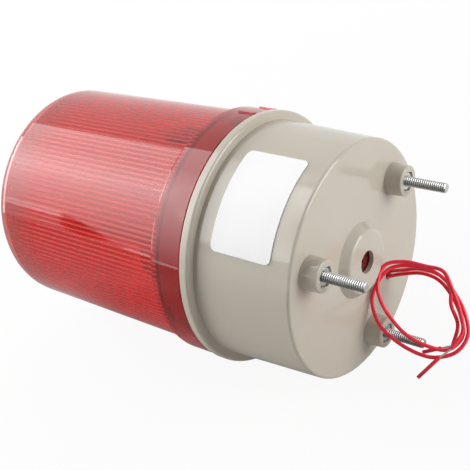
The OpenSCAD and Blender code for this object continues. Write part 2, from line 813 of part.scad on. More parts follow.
module reflector() {
    strips = 12;
    ys = [for (i = [-strips:strips]) i * reflector_half_w / strips];
    sheet = concat(
        [for (y = ys) parabola(y)],
        [for (i = [len(ys) - 1:-1:0]) parabola_back(ys[i], reflector_t)]);
    wide = reflector_half_w + reflector_t;
    color([0.88, 0.89, 0.90])
    rotate([0, 0, reflector_facing])
        difference() {
            intersection() {
                translate([0, 0, z_reflector]) linear_extrude(reflector_h) polygon(sheet);
                translate([-focus * 2, 0, z_reflector])
                    rotate([90, 0, 90])
                        linear_extrude(focus * 4)
                            polygon([[-reflector_foot_w, 0], [reflector_foot_w, 0], [wide, reflector_h],
                                     [-wide, reflector_h]]);
            }
            for (h = rivet_up) translate([-bracket_back - over, 0, z_reflector + h]) rotate([0, 90, 0])
                cylinder(h = reflector_t + 2 * over, r = rivet_r + seat, $fn = 48);
        }
}

module reflector_rivets() {
    back = bracket_back + bracket_t;
    color([0.75, 0.75, 0.77])
    rotate([0, 0, reflector_facing + 180])
        for (h = rivet_up) translate([focus, 0, z_reflector + h]) rotate([0, 90, 0]) {
            cylinder(h = back - focus, r = rivet_r, $fn = 48);
            translate([0, 0, back - focus]) cylinder(h = rivet_head_h, r = rivet_head_r, $fn = 48);
        }
}

module driver_board() {
    color([0.16, 0.42, 0.22])
    translate([0, 0, z_board])
        difference() {
            intersection() {
                cylinder(h = board_t, r = board_r);
                translate([board_cut_x, -board_r, 0]) cube([2 * board_r, 2 * board_r, board_t]);
            }
            for (a = pillar_angles) rotate([0, 0, a])
                translate([pillar_ring, 0, -over]) cylinder(h = board_t + 2 * over, r = m2_r + hole_ease, $fn = 48);
        }
}

module board_screws() {
    color([0.62, 0.62, 0.64])
    for (a = pillar_angles) rotate([0, 0, a])
        translate([pillar_ring, 0, z_board_top]) pan_screw(m2_r, m2_l, m2_head_r, m2_head_h);
}

module board_capacitors() {
    color([0.12, 0.16, 0.34])
    for (a = capacitor_angles) rotate([0, 0, a])
        translate([capacitor_ring, 0, z_board_top]) cylinder(h = capacitor_h, r = capacitor_r, $fn = 48);
}

module driver_chip() {
    color([0.12, 0.12, 0.13])
    translate([chip_at[0], chip_at[1], z_board_top]) cube(chip_size);
}

module terminal_block() {
    z_low = lead_a_route[0][2];
    color([0.20, 0.45, 0.30])
    translate([lead_hole[0] - terminal_size[0] / 2, lead_hole[1] - terminal_size[1] / 2, z_low])
        cube([terminal_size[0], terminal_size[1], z_board - z_low]);
}

module sounder() {
    z_nose = z_base - sound_boss_h + sound_face_t + sounder_gap;
    z_body = z_floor + sounder_gap;
    nose_r = min(sounder_r, sound_recess_r - sounder_gap);
    color([0.28, 0.07, 0.05])
    rotate_extrude()
        polygon([
            [0, z_nose + sounder_hole_h], [sounder_hole_r, z_nose + sounder_hole_h], [sounder_hole_r, z_nose],
            [nose_r, z_nose], [nose_r, z_body], [sounder_r, z_body], [sounder_r, z_board], [0, z_board]]);
}

module lamp_leads() {
    color([0.80, 0.10, 0.10])
    for (s = [-1, 1])
        translate([s * lamp_lead_x, 0, z_board_top]) cylinder(h = z_post_top - z_board_top, r = inner_lead_r, $fn = 24);
}

module motor_leads() {
    color([0.15, 0.15, 0.15])
    for (s = [-1, 1])
        tube_along([for (p = motor_lead_route) [p[0], s * p[1], p[2]]], inner_lead_r);
}

module lead_a() {
    color([0.86, 0.10, 0.16]) tube_along(lead_a_route, lead_d / 2);
}

module lead_b() {
    color([0.86, 0.10, 0.16]) tube_along(lead_b_route, lead_d / 2);
}

module lead_strands() {
    ends = [lead_a_route[len(lead_a_route) - 1], lead_b_route[len(lead_b_route) - 1]];
    color([0.78, 0.77, 0.74]) {
        straight_tube(ends[0], lead_a_tip[0], strand_d / 2);
        straight_tube(ends[1], lead_b_tip[0], strand_d / 2);
    }
}

module lead_slugs() {
    color([0.80, 0.10, 0.16]) {
        straight_tube(lead_a_tip[0], lead_a_tip[1], lead_d / 2);
        straight_tube(lead_b_tip[0], lead_b_tip[1], lead_d / 2);
    }
}

base_housing();
base_label();
mounting_screws();
mounting_nuts();
seal_ring();
lens_cover();
chassis_plate();
chassis_screws();
motor_can();
motor_end_cap();
motor_screws();
motor_shaft();
pinion();
lamp_post();
thrust_washer();
retaining_ring();
lamp_socket();
bulb_cap();
bulb_glass();
drive_gear();
gear_bush();
reflector_bracket();
bracket_screws();
reflector();
reflector_rivets();
driver_board();
board_screws();
board_capacitors();
driver_chip();
terminal_block();
sounder();
lamp_leads();
motor_leads();
lead_a();
lead_b();
lead_strands();
lead_slugs();
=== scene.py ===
import json
import math

import bmesh
import bpy
from mathutils import Matrix, Vector


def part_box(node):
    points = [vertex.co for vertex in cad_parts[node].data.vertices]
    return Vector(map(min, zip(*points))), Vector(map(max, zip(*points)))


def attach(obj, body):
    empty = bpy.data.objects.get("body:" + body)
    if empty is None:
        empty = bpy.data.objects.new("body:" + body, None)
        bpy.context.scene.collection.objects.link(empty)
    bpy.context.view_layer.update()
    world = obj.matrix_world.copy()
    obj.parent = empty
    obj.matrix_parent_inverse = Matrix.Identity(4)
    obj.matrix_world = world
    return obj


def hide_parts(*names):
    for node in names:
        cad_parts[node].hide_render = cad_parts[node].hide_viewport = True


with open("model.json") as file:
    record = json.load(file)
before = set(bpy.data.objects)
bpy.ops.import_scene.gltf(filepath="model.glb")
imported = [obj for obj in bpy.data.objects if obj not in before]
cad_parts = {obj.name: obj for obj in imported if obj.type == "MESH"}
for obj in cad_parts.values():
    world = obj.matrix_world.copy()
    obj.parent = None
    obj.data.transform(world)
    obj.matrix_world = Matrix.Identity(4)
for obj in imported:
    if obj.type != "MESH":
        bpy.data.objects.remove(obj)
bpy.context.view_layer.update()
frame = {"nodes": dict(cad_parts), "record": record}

# Base housing
# One beige injection moulding: a drafted wall under a flange, three feet and a round sound boss.
# It leaves the tool with a satin skin, faint flow clouds and no paint.


def srgb(red, green, blue):
    """A colour given in 0 to 255, as the linear colour that a shader takes."""
    parts = [v / 255 for v in (red, green, blue)]
    return [v / 12.92 if v < 0.04045 else ((v + 0.055) / 1.055) ** 2.4 for v in parts] + [1.0]


def feed(tree, socket, value):
    """Fills a socket with a plain value, or with a link from another socket."""
    if isinstance(value, bpy.types.NodeSocket):
        tree.links.new(value, socket)
    else:
        socket.default_value = value


def place(tree, kind, inputs=None, **settings):
    """Adds a node with its settings, and feeds its inputs."""
    node = tree.nodes.new(kind)
    for name, value in settings.items():
        setattr(node, name, value)
    for name, value in (inputs or {}).items():
        feed(tree, node.inputs[name], value)
    return node


def combine(tree, operation, first, second):
    """One step of arithmetic with two values."""
    return place(tree, "ShaderNodeMath", {0: first, 1: second}, operation=operation).outputs[0]


def blend_colour(tree, factor, first, second):
    mix = place(tree, "ShaderNodeMix", data_type="RGBA")
    for socket, value in zip((mix.inputs[0], mix.inputs[6], mix.inputs[7]), (factor, first, second)):
        feed(tree, socket, value)
    return mix.outputs[2]


def remap(tree, value, low, high, to_low=0.0, to_high=1.0):
    """Turns the stretch from low to high into another one, and stops at its ends."""
    node = place(tree, "ShaderNodeMapRange", {
        "Value": value, "From Min": low, "From Max": high, "To Min": to_low, "To Max": to_high})
    return node.outputs["Result"]


def spot_on(tree):
    """The place on a piece at rest, in metres in the shared frame."""
    return place(tree, "ShaderNodeTexCoord").outputs["Object"]


def noise(tree, spot, scale, detail=2.0):
    """A cloudy value, mostly between noise_low and noise_high."""
    node = place(tree, "ShaderNodeTexNoise", {"Vector": spot, "Scale": scale, "Detail": detail})
    return node.outputs["Fac"]


def start_group(name, inputs, outputs):
    """A shader node group with named sockets: returns the group, its inner inputs and its outputs."""
    group = bpy.data.node_groups.new(name, "ShaderNodeTree")
    for label, kind, value in inputs:
        group.interface.new_socket(label, in_out="INPUT", socket_type=kind).default_value = value
    for label, kind in outputs:
        group.interface.new_socket(label, in_out="OUTPUT", socket_type=kind)
    return group, group.nodes.new("NodeGroupInput").outputs, group.nodes.new("NodeGroupOutput").inputs


def use_group(tree, group, values):
    node = place(tree, "ShaderNodeGroup", node_tree=group)
    for label, value in values.items():
        feed(tree, node.inputs[label], value)
    return node.outputs


def start_material(name, sockets):
    """A new material with its Principled shader, whose sockets hold plain values."""
    mat = bpy.data.materials.new(name)
    mat.use_nodes = True
    shader = mat.node_tree.nodes["Principled BSDF"]
    for label, value in sockets.items():
        shader.inputs[label].default_value = value
    return mat, mat.node_tree, shader


def finish_surface(tree, shader, colour, roughness, height, depth):
    """Feeds a shader its colour, its roughness and a relief that is so many metres deep."""
    bump = place(tree, "ShaderNodeBump", {"Distance": depth, "Height": height})
    feed(tree, shader.inputs["Base Color"], colour)
    feed(tree, shader.inputs["Roughness"], roughness)
    feed(tree, shader.inputs["Normal"], bump.outputs["Normal"])


def dress(mat, *nodes):
    """Gives CAD nodes their finish."""
    for node in nodes:
        for slot in frame["nodes"][node].material_slots:
            slot.material = mat


COLOUR, VALUE = "NodeSocketColor", "NodeSocketFloat"
WHITE = (1.0, 1.0, 1.0, 1.0)
noise_low, noise_high = 0.3, 0.7
cloud_scale, smear_scale, grain_scale = 38.0, 140.0, 1900.0
gloss_spread = 0.035
moulded_skin, skin_in, skin_out = start_group(
    "moulded_skin",
    [("Colour", COLOUR, WHITE), ("Shade", COLOUR, WHITE), ("Gloss", VALUE, 0.3)],
    [("Colour", COLOUR), ("Roughness", VALUE), ("Height", VALUE)])
spot = spot_on(moulded_skin)
cloud = remap(moulded_skin, noise(moulded_skin, spot, cloud_scale, 3.0), noise_low, noise_high)
clouded = blend_colour(moulded_skin, cloud, skin_in["Colour"], skin_in["Shade"])
smear = noise(moulded_skin, spot, smear_scale, 4.0)
uneven = remap(moulded_skin, smear, noise_low, noise_high, -gloss_spread, gloss_spread)
feed(moulded_skin, skin_out["Colour"], clouded)
feed(moulded_skin, skin_out["Roughness"], combine(moulded_skin, "ADD", skin_in["Gloss"], uneven))
feed(moulded_skin, skin_out["Height"], noise(moulded_skin, spot, grain_scale))


def moulded(name, colour, shade, gloss, grain_depth, sockets=None):
    """A moulded plastic: cloudy colour, uneven gloss and the fine grain of its mould."""
    mat, tree, shader = start_material(name, sockets or {})
    skin = use_group(tree, moulded_skin, {"Colour": colour, "Shade": shade, "Gloss": gloss})
    finish_surface(tree, shader, skin["Colour"], skin["Roughness"], skin["Height"], grain_depth)
    return mat


base_plastic = moulded(
    "base_plastic", srgb(193, 185, 171), srgb(190, 182, 168),
    gloss=0.13, grain_depth=2e-7, sockets={"IOR": 1.53})
dress(base_plastic, "base_housing")

# Mounting screws and nuts
# Three zinc-plated M4 screws stand through the feet with their heads inside the base.
# Chamfered hex nuts, sunk in the feet, clamp them, and the long thread ends are the studs.
MM = 0.001
stud_mount = next(m for m in frame["record"]["mounts"] if m["name"] == "stud_pattern")
stud_ring = stud_mount["dims"]["pcd_mm"] / 2 * MM
stud_r = stud_mount["dims"]["stud_r_mm"] * MM
stud_count, first_stud_deg = 3, 90
stud_angles = [math.radians(first_stud_deg + 360 / stud_count * k) for k in range(stud_count)]
stud_axes = [Vector((math.cos(a), math.sin(a))) * stud_ring for a in stud_angles]
screw_low, screw_high = (corner.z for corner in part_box("mounting_screws"))
screw_sides = 32
screw_smooth_deg = 40
head_height, head_r = 2.6 * MM, 4 * MM
head_bevel_height, head_bevel_width = 0.6 * MM, 0.5 * MM
screw_seat = screw_high - head_height
shank_relief, shank_start = 0.23 * MM, 0.3 * MM
shank_r = stud_r - shank_relief
thread_pitch, thread_depth = 0.85 * MM, 0.43 * MM
crest_share, flank_share, root_share = 0.16, 0.6, 0.4
thread_runout = 2.5 * MM
thread_top = screw_seat - thread_runout
screw_turn = 1.7
tip_chamfer = 0.45 * MM
rows_per_turn = 9
recess_reach, recess_half, recess_depth = 2.2 * MM, 0.42 * MM, 1.3 * MM
recess_taper = 0.9
nearly_zero = 1e-6


def around(radius_at, z_at, sides):
    """One ring of points, with its radius and height as functions of the angle."""
    turns = [2 * math.pi * k / sides for k in range(sides)]
    return [Vector((radius_at(a) * math.cos(a), radius_at(a) * math.sin(a), z_at(a))) for a in turns]


def level(radius, z, sides):
    return around(lambda a: radius, lambda a: z, sides)


def skin_rings(bm, rings, move, closed=False):
    """Joins rings of points into one surface, capped at both ends or closed on itself."""
    made = [[bm.verts.new(move @ p) for p in ring] for ring in rings]
    for low, high in zip(made, made[1:] + made[:1] if closed else made[1:]):
        for k in range(len(low)):
            j = (k + 1) % len(low)
            bm.faces.new((low[k], low[j], high[j], high[k]))
    if not closed:
        bm.faces.new(made[0][::-1])
        bm.faces.new(made[-1])


def finish_mesh(name, bm, smooth_deg, *mats):
    """Turns a bmesh into a piece with its finishes, smooth where its faces meet at less than an angle."""
    bmesh.ops.recalc_face_normals(bm, faces=bm.faces)
    for face in bm.faces:
        face.smooth = True
    for edge in bm.edges:
        edge.smooth = edge.calc_face_angle(0) < math.radians(smooth_deg)
    mesh = bpy.data.meshes.new(name)
    bm.to_mesh(mesh)
    bm.free()
    for mat in mats:
        mesh.materials.append(mat)
    piece = bpy.data.objects.new(name, mesh)
    bpy.context.scene.collection.objects.link(piece)
    return piece


def stand_at(centre, turn):
    """Moves what was made round the origin to a stud's axis, turned round itself."""
    return Matrix.Translation((*centre, 0)) @ Matrix.Rotation(turn, 4, "Z")


def thread_radius(z, angle):
    """Radius of the rolled thread: narrow crest, sloped flanks, flat root, and a chamfer at the tip."""
    phase = ((z - screw_low) / thread_pitch - angle / (2 * math.pi)) % 1
    off_crest = abs(phase - 0.5) * 2
    cut = min(max((off_crest - crest_share) / flank_share, 0), 1)
    return min(stud_r - thread_depth * cut, stud_r - tip_chamfer + (z - screw_low))


def recess_radius(angle):
    """Outline of the cross recess, as its reach in each direction."""
    a = (angle + math.pi / 4) % (math.pi / 2) - math.pi / 4
    side = recess_half / max(abs(math.sin(a)), nearly_zero)
    return min(recess_reach / math.cos(a), side)


bloom_scale, scuff_scale = 260.0, 1500.0
bloom_low, bloom_high = 0.35, 0.75
polish, scuffing = -0.06, 0.08
worked_metal, metal_in, metal_out = start_group(
    "worked_metal",
    [("Colour", COLOUR, WHITE), ("Tarnish", COLOUR, WHITE), ("Gloss", VALUE, 0.25)],
    [("Colour", COLOUR), ("Roughness", VALUE), ("Height", VALUE)])
spot = spot_on(worked_metal)
bloom = remap(worked_metal, noise(worked_metal, spot, bloom_scale, 4.0), bloom_low, bloom_high)
clouded = blend_colour(worked_metal, bloom, metal_in["Colour"], metal_in["Tarnish"])
scuff = noise(worked_metal, spot, scuff_scale, 3.0)
uneven = remap(worked_metal, scuff, noise_low, noise_high, polish, scuffing)
feed(worked_metal, metal_out["Colour"], clouded)
feed(worked_metal, metal_out["Roughness"], combine(worked_metal, "ADD", metal_in["Gloss"], uneven))
feed(worked_metal, metal_out["Height"], scuff)


def metal(name, colour, tarnish, gloss, scuff_depth=1e-6):
    """A bare or plated metal: clouded tint, uneven gloss and fine scuffs."""
    mat, tree, shader = start_material(name, {"Metallic": 1.0})
    work = use_group(tree, worked_metal, {"Colour": colour, "Tarnish": tarnish, "Gloss": gloss})
    finish_surface(tree, shader, work["Colour"], work["Roughness"], work["Height"], scuff_depth)
    return mat


zinc_steel = metal("zinc_steel", srgb(206, 206, 204), srgb(186, 188, 186), gloss=0.26)
# A darker, rougher steel for the thread's roots: painted shade in the grooves
root_shade_steel = metal("root_shade_steel", srgb(152, 152, 152), srgb(134, 134, 134), gloss=0.42)
thread_rows = int((thread_top - screw_low) / thread_pitch * rows_per_turn)
screw_rings = []
for row in range(thread_rows + 1):
    z_row = screw_low + (thread_top - screw_low) * row / thread_rows
    screw_rings.append(around(lambda a: thread_radius(z_row, a), lambda a: z_row, screw_sides))
screw_rings += [
    level(shank_r, thread_top + shank_start, screw_sides),
    level(shank_r, screw_seat, screw_sides),
    level(head_r, screw_seat, screw_sides),
    level(head_r, screw_high - head_bevel_height, screw_sides),
    level(head_r - head_bevel_width, screw_high, screw_sides),
    around(recess_radius, lambda a: screw_high, screw_sides),
    around(lambda a: recess_radius(a) * recess_taper, lambda a: screw_high - recess_depth, screw_sides),
]
bm = bmesh.new()
for centre, angle in zip(stud_axes, stud_angles):
    skin_rings(bm, screw_rings, stand_at(centre, angle * screw_turn))
# Faces deep in the thread's roots, above the tip chamfer, take the darker steel as painted shade
for face in bm.faces:
    middle = face.calc_center_median()
    off_axis = min((middle.xy - centre).length for centre in stud_axes)
    in_thread = screw_low + tip_chamfer < middle.z < thread_top
    face.material_index = int(in_thread and off_axis < stud_r - thread_depth * root_share)
studs = finish_mesh("threaded_screws", bm, screw_smooth_deg, zinc_steel, root_shade_steel)
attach(studs, "base")
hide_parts("mounting_screws")

nut_low, nut_high = (corner.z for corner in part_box("mounting_nuts"))
nut_flat = 3.5 * MM
nut_face_r = 3.25 * MM
nut_bite = 0.15 * MM
nut_bore_r = stud_r - nut_bite
nut_chamfer_deg = 30
nut_lead_in = 0.3 * MM
nut_sides = 48
nut_smooth_deg = 25


def hex_radius(angle):
    return nut_flat / math.cos(angle % (math.pi / 3) - math.pi / 6)


def chamfer_drop(angle):
    """How far the chamfer has cut down where the hexagon's wall stands."""
    return (hex_radius(angle) - nut_face_r) * math.tan(math.radians(nut_chamfer_deg))


nut_rings = [
    level(nut_bore_r, nut_low + nut_lead_in, nut_sides),
    level(nut_bore_r + nut_lead_in, nut_low, nut_sides),
    level(nut_face_r, nut_low, nut_sides),
    around(hex_radius, lambda a: nut_low + chamfer_drop(a), nut_sides),
    around(hex_radius, lambda a: nut_high - chamfer_drop(a), nut_sides),
    level(nut_face_r, nut_high, nut_sides),
    level(nut_bore_r + nut_lead_in, nut_high, nut_sides),
    level(nut_bore_r, nut_high - nut_lead_in, nut_sides),
]
bm = bmesh.new()
for centre, angle in zip(stud_axes, stud_angles):
    skin_rings(bm, nut_rings, stand_at(centre, angle + math.pi / 6), closed=True)
nuts = finish_mesh("chamfered_nuts", bm, nut_smooth_deg, zinc_steel)
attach(nuts, "base")
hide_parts("mounting_nuts")

# Driver board and what it carries
# A green glass-fibre board on three pillars, with its screws, two capacitors and the driver chip.
# The terminal block and the sounder hang under it, the sounder right behind the hole in the boss.
track_scale, track_width, track_shift = 420.0, 0.09, 0.37
track_height = 3e-5
board_laminate, tree, shader = start_material("board_laminate", {"Coat Weight": 0.4})
tracks = place(tree, "ShaderNodeTexBrick", {
    "Vector": spot_on(tree), "Scale": track_scale, "Mortar Size": track_width, "Color1": srgb(24, 82, 46),
    "Color2": srgb(30, 92, 52), "Mortar": srgb(58, 128, 74)}, offset=track_shift).outputs
skin = use_group(tree, moulded_skin, {"Colour": tracks["Color"], "Shade": srgb(22, 74, 42), "Gloss": 0.35})
finish_surface(tree, shader, skin["Colour"], skin["Roughness"], tracks["Fac"], track_height)
dress(board_laminate, "driver_board")

can_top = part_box("board_capacitors")[1].z
sleeve_end, sleeve_edge = can_top - 0.3 * MM, can_top - 0.2 * MM
capacitor_sleeve, tree, shader = start_material("capacitor_sleeve", {})
height = place(tree, "ShaderNodeSeparateXYZ", {"Vector": spot_on(tree)}).outputs["Z"]
bare_top = remap(tree, height, sleeve_end, sleeve_edge)
skin = use_group(tree, moulded_skin, {"Colour": srgb(38, 46, 92), "Shade": srgb(30, 36, 78), "Gloss": 0.3})
feed(tree, shader.inputs["Base Color"], blend_colour(tree, bare_top, skin["Colour"], srgb(196, 198, 202)))
feed(tree, shader.inputs["Metallic"], bare_top)
feed(tree, shader.inputs["Roughness"], skin["Roughness"])
dress(capacitor_sleeve, "board_capacitors")

black_plastic = moulded("black_plastic", srgb(44, 44, 46), srgb(36, 36, 38), gloss=0.42, grain_depth=6e-6)
dress(black_plastic, "driver_chip", "motor_end_cap")
sounder_plastic = moulded("sounder_plastic", srgb(104, 22, 13), srgb(84, 16, 9), gloss=0.4, grain_depth=4e-6)
dress(sounder_plastic, "sounder")
terminal_plastic = moulded(
    "terminal_plastic", srgb(66, 128, 84), srgb(58, 116, 76), gloss=0.36, grain_depth=4e-6)
dress(terminal_plastic, "terminal_block")
screw_steel = metal("screw_steel", srgb(198, 200, 202), srgb(164, 168, 170), gloss=0.28)
dress(screw_steel, "board_screws", "chassis_screws", "motor_screws", "bracket_screws")

# Motor
# A small can motor hangs under the chassis plate on two screws, with a black end cap below.
# Its ground shaft carries the moulded pinion, and two leads run from the cap to the board.
can_steel = metal("can_steel", srgb(190, 190, 194), srgb(160, 162, 168), gloss=0.24, scuff_depth=2e-6)
dress(can_steel, "motor_can", "motor_shaft")
gear_plastic = moulded(
    "gear_plastic", srgb(238, 234, 222), srgb(230, 224, 210),
    gloss=0.38, grain_depth=3e-6, sockets={"Subsurface Weight": 0.15})
dress(gear_plastic, "pinion", "drive_gear", "thrust_washer")
lead_black = moulded("lead_black", srgb(40, 40, 42), srgb(32, 32, 34), gloss=0.4, grain_depth=3e-6)
dress(lead_black, "motor_leads")

# Chassis plate
# A round of galvanised sheet on the base's three posts carries the motor and the lamp post.
# Its spangle is the zinc's own crystal, and the reflector's bracket is bent from the same sheet.
spangle_scale = 330.0
crystal_gloss, crystal_matt = 0.44, 0.6
plate_scuff_depth = 1e-6
plate_steel, tree, shader = start_material("plate_steel", {"Metallic": 1.0})
spangle = place(tree, "ShaderNodeTexVoronoi", {"Vector": spot_on(tree), "Scale": spangle_scale})
crystal = place(tree, "ShaderNodeSeparateColor", {"Color": spangle.outputs["Color"]}).outputs["Red"]
tint = blend_colour(tree, crystal, srgb(206, 208, 210), srgb(180, 184, 188))
work = use_group(tree, worked_metal, {"Colour": tint, "Tarnish": srgb(172, 174, 176)})
spangled = remap(tree, crystal, 0.0, 1.0, crystal_gloss, crystal_matt)
finish_surface(tree, shader, work["Colour"], spangled, work["Height"], plate_scuff_depth)
dress(plate_steel, "chassis_plate", "reflector_bracket")

# Lamp post and drive gear
# A turned aluminium tube stands on the plate, and the drive gear runs round it on a brass bush.
# A nylon washer carries the gear, and a spring ring in the post's groove keeps it down.
turning_scale, turning_wander, turning_depth = 900.0, 1.5, 4e-6
post_aluminium, tree, shader = start_material("post_aluminium", {"Metallic": 1.0})
turning = place(tree, "ShaderNodeTexWave", {
    "Vector": spot_on(tree), "Scale": turning_scale, "Distortion": turning_wander}, bands_direction="Z")
work = use_group(tree, worked_metal, {
    "Colour": srgb(196, 198, 202), "Tarnish": srgb(176, 178, 182), "Gloss": 0.28})
finish_surface(tree, shader, work["Colour"], work["Roughness"], turning.outputs["Fac"], turning_depth)
dress(post_aluminium, "lamp_post")
brass = metal("brass", srgb(206, 172, 104), srgb(184, 146, 82), gloss=0.24)
dress(brass, "gear_bush", "bulb_cap")
spring_steel = metal("spring_steel", srgb(96, 96, 100), srgb(70, 70, 74), gloss=0.34)
dress(spring_steel, "retaining_ring")

# Reflector
# A parabolic sheet, bright-rolled and lacquered, riveted to its bracket on the gear.
# It turns round the lamp and throws the beam; fine rolling lines run up the sheet.
rolling_scale, rolling_depth = 2200.0, 5e-7
rolling_stretch = (1.0, 1.0, 0.03)
reflector_mirror, tree, shader = start_material("reflector_mirror", {"Metallic": 1.0, "Coat Weight": 0.3})
stretch = place(tree, "ShaderNodeMapping", {"Vector": spot_on(tree), "Scale": rolling_stretch})
rolling = noise(tree, stretch.outputs["Vector"], rolling_scale)
work = use_group(tree, worked_metal, {
    "Colour": srgb(232, 234, 236), "Tarnish": srgb(216, 219, 222), "Gloss": 0.1})
finish_surface(tree, shader, work["Colour"], work["Roughness"], rolling, rolling_depth)
dress(reflector_mirror, "reflector")
rivet_metal = metal("rivet_metal", srgb(208, 209, 212), srgb(184, 186, 190), gloss=0.26)
dress(rivet_metal, "reflector_rivets")

# Lamp
# A bayonet bulb stands in a white ceramic socket on top of the lamp post.
# Its glass is lightly frosted inside, and two leads come up to it through the post.
socket_ceramic = moulded(
    "socket_ceramic", srgb(240, 238, 230), srgb(232, 228, 218),
    gloss=0.18, grain_depth=2e-6, sockets={"Coat Weight": 0.5})
dress(socket_ceramic, "lamp_socket")
frost_scale = 700.0
frost_fine, frost_coarse = 0.3, 0.42
bulb_glass, tree, shader = start_material(
    "bulb_glass", {"Transmission Weight": 0.85, "IOR": 1.46, "Base Color": (0.96, 0.97, 0.96, 1.0)})
frost = noise(tree, spot_on(tree), frost_scale)
frosted = remap(tree, frost, noise_low, noise_high, frost_fine, frost_coarse)
feed(tree, shader.inputs["Roughness"], frosted)
dress(bulb_glass, "bulb_glass")

# Seal ring
# A flat black rubber ring between the flange and the lens, which shows as a fine dark line.
# It is punched from sheet and has a dusty, matt skin.
seal_rubber = moulded("seal_rubber", srgb(38, 36, 36), srgb(52, 50, 48), gloss=0.7, grain_depth=8e-6)
dress(seal_rubber, "seal_ring")

# Lens cover
# One red see-through moulding: polished outside, with 144 upright flutes inside that spread the beam.
# Its smooth collar drops over the base's neck and locks there with a twist.
flute_count = 144
flute_low, flute_high = 67.3 * MM, 154.5 * MM
collar_blend = 0.5 * MM
crown_lap, crown_fade = 1.5 * MM, 17 * MM
lens_middle = (0.0, 0.0, 105 * MM)
skin_blend = 0.1 * MM
# Painted light and shade: outside, the fluted part runs in a darker and a lighter red line for each flute,
# which stand in for the light the flutes bend
painted_flute_shade, painted_flute_light = srgb(198, 48, 45), srgb(229, 73, 68)
crown_red = srgb(188, 126, 124)
collar_red = srgb(190, 44, 44)
inside_red = srgb(246, 124, 118)
lens_through = (0.6, 0.1, 0.09, 1.0)
lens_cloud_scale, lens_cloud_depth = 30.0, 0.08
outside_rough, inside_rough, crown_rough = 0.04, 0.15, 0.6
red_lens, tree, shader = start_material("red_lens", {"Transmission Weight": 0.9, "IOR": 1.585})
lens_place = place(tree, "ShaderNodeTexCoord").outputs
spot = lens_place["Object"]
outward = place(tree, "ShaderNodeVectorMath", {0: spot, 1: lens_middle}, operation="SUBTRACT")
facing = place(tree, "ShaderNodeVectorMath", {
    0: outward.outputs["Vector"], 1: lens_place["Normal"]}, operation="DOT_PRODUCT")
outside = remap(tree, facing.outputs["Value"], -skin_blend, skin_blend)
axes = place(tree, "ShaderNodeSeparateXYZ", {"Vector": spot}).outputs
turn = combine(tree, "ARCTAN2", axes["Y"], axes["X"])
phase = combine(tree, "MULTIPLY", turn, float(flute_count))
stripe = place(tree, "ShaderNodeMath", {0: phase}, operation="COSINE").outputs[0]
above_collar = remap(tree, axes["Z"], flute_low - collar_blend, flute_low + collar_blend)
below_crown = remap(tree, axes["Z"], flute_high + crown_lap, flute_high - crown_fade)
fluted = combine(tree, "MULTIPLY", above_collar, below_crown)
# The painted stripes fade out towards the collar and towards the crown
painted_stripe_depth = combine(tree, "MULTIPLY", remap(tree, stripe, -1.0, 1.0, -0.5, 0.5), fluted)
cloud = remap(tree, noise(tree, spot, lens_cloud_scale), noise_low, noise_high,
              0.5 - lens_cloud_depth, 0.5 + lens_cloud_depth)
painted_stripes = blend_colour(tree, combine(tree, "ADD", painted_stripe_depth, cloud), painted_flute_shade, painted_flute_light)
fading = blend_colour(tree, below_crown, crown_red, painted_stripes)
outside_red = blend_colour(tree, above_collar, collar_red, fading)
feed(tree, shader.inputs["Base Color"], blend_colour(tree, outside, inside_red, outside_red))
inside_gloss = remap(tree, below_crown, 0.0, 1.0, crown_rough, inside_rough)
feed(tree, shader.inputs["Roughness"], remap(tree, outside, 0.0, 1.0, inside_gloss, outside_rough))
light_path = place(tree, "ShaderNodeLightPath").outputs
passing = place(tree, "ShaderNodeBsdfTransparent", {"Color": lens_through})
lamp_light = place(tree, "ShaderNodeMixShader", {
    0: light_path["Is Shadow Ray"], 1: shader.outputs[0], 2: passing.outputs[0]})
feed(tree, tree.nodes["Material Output"].inputs["Surface"], lamp_light.outputs[0])
dress(red_lens, "lens_cover")

# Base label
# A blank label of white film with rounded corners, stuck to the base wall by its own adhesive.
# It is die-cut from a roll, and only the film's faint texture shows on it.
label_low, label_high = (corner.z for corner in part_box("base_label"))
label_angle = math.radians(237.3)
label_half_w = 20 * MM
label_end = label_half_w - 0.001 * MM
label_corner = 2.2 * MM
label_gap, label_film_t = 0.05 * MM, 0.3 * MM
label_columns, label_rows = 64, 16
label_smooth_deg = 50
wall_foot_z, wall_top_z = 8.2 * MM, 48.6 * MM
wall_foot_r, wall_top_r = 46.5 * MM, 48 * MM


def wall_radius(z):
    return wall_foot_r + (wall_top_r - wall_foot_r) * (z - wall_foot_z) / (wall_top_z - wall_foot_z)


def label_point(across, share, lift):
    """A point of the label: across its width, up its height by a share, and off the wall by a lift."""
    past = max(abs(across) - (label_half_w - label_corner), 0)
    cut = label_corner - math.sqrt(max(label_corner ** 2 - past ** 2, 0))
    z = label_low + cut + (label_high - label_low - 2 * cut) * share
    radius = wall_radius(z) + lift
    angle = label_angle + math.asin(across / radius)
    return Vector((radius * math.cos(angle), radius * math.sin(angle), z))


def label_grid(bm, lift):
    """The points of one face of the label, closer together at its rounded ends."""
    columns = [-label_end * math.cos(math.pi * i / label_columns) for i in range(label_columns + 1)]
    shares = [j / label_rows for j in range(label_rows + 1)]
    return [[bm.verts.new(label_point(across, share, lift)) for share in shares] for across in columns]


bm = bmesh.new()
back, front = label_grid(bm, label_gap), label_grid(bm, label_gap + label_film_t)
for grid in (back, front):
    for i in range(label_columns):
        for j in range(label_rows):
            bm.faces.new((grid[i][j], grid[i + 1][j], grid[i + 1][j + 1], grid[i][j + 1]))
rims = [[(i, j) for i in range(label_columns + 1)] for j in (0, label_rows)]
rims += [[(i, j) for j in range(label_rows + 1)] for i in (0, label_columns)]
for rim in rims:
    for (i, j), (m, n) in zip(rim, rim[1:]):
        bm.faces.new((back[i][j], back[m][n], front[m][n], front[i][j]))
label_film = moulded("label_film", srgb(248, 248, 248), srgb(245, 245, 245), gloss=0.42, grain_depth=2e-6)
label = finish_mesh("blank_label", bm, label_smooth_deg, label_film)
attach(label, "base")
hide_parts("base_label")

